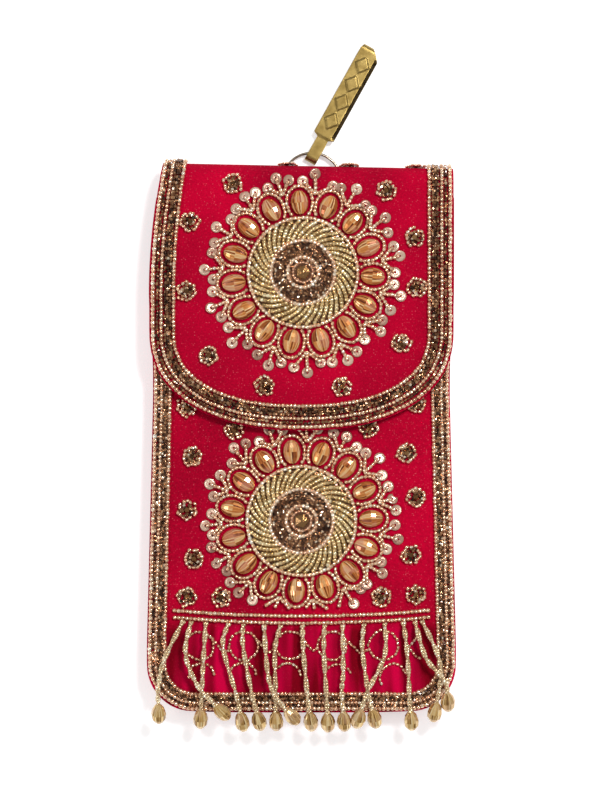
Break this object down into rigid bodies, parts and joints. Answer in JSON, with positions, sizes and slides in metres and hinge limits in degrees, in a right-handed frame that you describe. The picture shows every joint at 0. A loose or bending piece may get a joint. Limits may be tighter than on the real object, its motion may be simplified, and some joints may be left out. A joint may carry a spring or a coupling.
{
  "type": "phone pouch",
  "caption": "Flat velvet phone pouch with a beaded flap over an open pocket, beaded borders, a bead fringe and a brass waist hook on a split ring.",
  "frame": {"origin": "middle of the back panel's outer face, at half the pouch's width and height", "axes": "+Z out of the beaded front, +Y towards the folded top edge, +X to the right seen from the front"},
  "size_m": [0.1054, 0.2392, 0.0198],
  "materials": {
    "velvet": "velvet pile",
    "border_beads": "glass beads with a gold lining",
    "medallion_beads": "gold beads, sequins and cut crystals",
    "rosette_beads": "gold beads round a bronze cut stone",
    "bead_strands": "gold lined glass beads with a cut drop",
    "snap_steel": "plated",
    "ring_steel": "antique plated wire",
    "brass": "satin, pressed pattern"
  },
  "bodies": {
    "pouch": {"back_and_flap": "velvet", "flap_border": "border_beads", "flap_medallion": "medallion_beads", "flap_rosette_01": "rosette_beads", "flap_rosette_02": "rosette_beads", "flap_rosette_03": "rosette_beads", "flap_rosette_04": "rosette_beads", "flap_rosette_05": "rosette_beads", "flap_rosette_06": "rosette_beads", "flap_rosette_07": "rosette_beads", "flap_rosette_08": "rosette_beads", "flap_rosette_09": "rosette_beads", "flap_rosette_10": "rosette_beads", "fold_rosette_01": "rosette_beads", "fold_rosette_02": "rosette_beads", "fold_rosette_03": "rosette_beads", "fringe_header": "border_beads", "fringe_strand_01": "bead_strands", "fringe_strand_02": "bead_strands", "fringe_strand_03": "bead_strands", "fringe_strand_04": "bead_strands", "fringe_strand_05": "bead_strands", "fringe_strand_06": "bead_strands", "fringe_strand_07": "bead_strands", "fringe_strand_08": "bead_strands", "fringe_strand_09": "bead_strands", "fringe_strand_10": "bead_strands", "fringe_strand_11": "bead_strands", "fringe_strand_12": "bead_strands", "fringe_strand_13": "bead_strands", "fringe_strand_14": "bead_strands", "fringe_strand_15": "bead_strands", "front_border": "border_beads", "front_medallion": "medallion_beads", "front_panel": "velvet", "front_rosette_01": "rosette_beads", "front_rosette_02": "rosette_beads", "front_rosette_03": "rosette_beads", "front_rosette_04": "rosette_beads", "front_rosette_05": "rosette_beads", "front_rosette_06": "rosette_beads", "front_rosette_07": "rosette_beads", "front_rosette_08": "rosette_beads", "front_rosette_09": "rosette_beads", "front_rosette_10": "rosette_beads", "front_rosette_11": "rosette_beads", "front_rosette_12": "rosette_beads", "front_rosette_13": "rosette_beads", "front_rosette_14": "rosette_beads", "ring_loop": "velvet", "side_gusset": "velvet", "snap_socket": "snap_steel", "snap_stud": "snap_steel"},
    "ring": {"split_ring": "ring_steel"},
    "hook": {"waist_hook": "brass"}
  },
  "joints": [
    {"name": "ring_swing", "type": "hinge", "parent": "pouch", "child": "ring", "pos_m": [0.0036, 0.07775, 0.00195], "axis": [-1, 0, 0], "range_deg": [0, 120]},
    {"name": "hook_swing", "type": "hinge", "parent": "ring", "child": "hook", "pos_m": [0.00468, 0.09829, 0.00195], "axis": [0, 0, 1], "range_deg": [-4, 50]}
  ]
}
